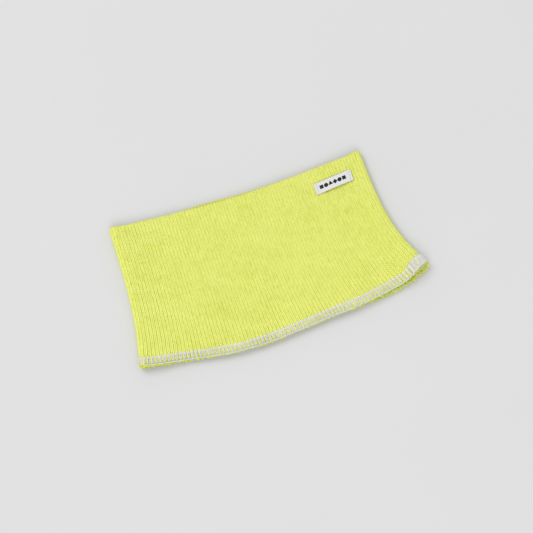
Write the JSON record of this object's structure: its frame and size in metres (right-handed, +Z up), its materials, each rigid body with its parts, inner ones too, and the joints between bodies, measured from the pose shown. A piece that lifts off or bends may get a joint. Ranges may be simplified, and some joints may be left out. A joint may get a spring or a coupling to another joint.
{
  "type": "knitted sweatband",
  "caption": "Terry-lined knitted sweatband lying flat: a seamless tube with a turned elastic welt, an overlocked raw hem and a small label sewn near one corner.",
  "frame": {"origin": "under the middle of the band, on the surface that it lies on: the middle of the footprint's bounding box", "axes": "+X across the band towards the side with the label, +Y along the tube from the overlocked hem to the turned welt, +Z up from the back layer to the front layer"},
  "size_m": [0.198, 0.1056, 0.0118],
  "materials": {
    "neon_knit": "matte",
    "neon_pile": "matte",
    "white_thread": "matte",
    "elastic": "matte",
    "label_white": "satin"
  },
  "bodies": {
    "root": {"knit_tube": "neon_knit", "terry_pile": "neon_pile", "welt_elastic_1": "elastic", "welt_elastic_2": "elastic", "welt_elastic_3": "elastic", "welt_elastic_4": "elastic", "overlock_upper_looper": "white_thread", "overlock_lower_looper": "white_thread", "overlock_needle_thread": "white_thread", "label_tape": "label_white", "label_stitch_left": "white_thread", "label_stitch_right": "white_thread"}
  },
  "joints": []
}
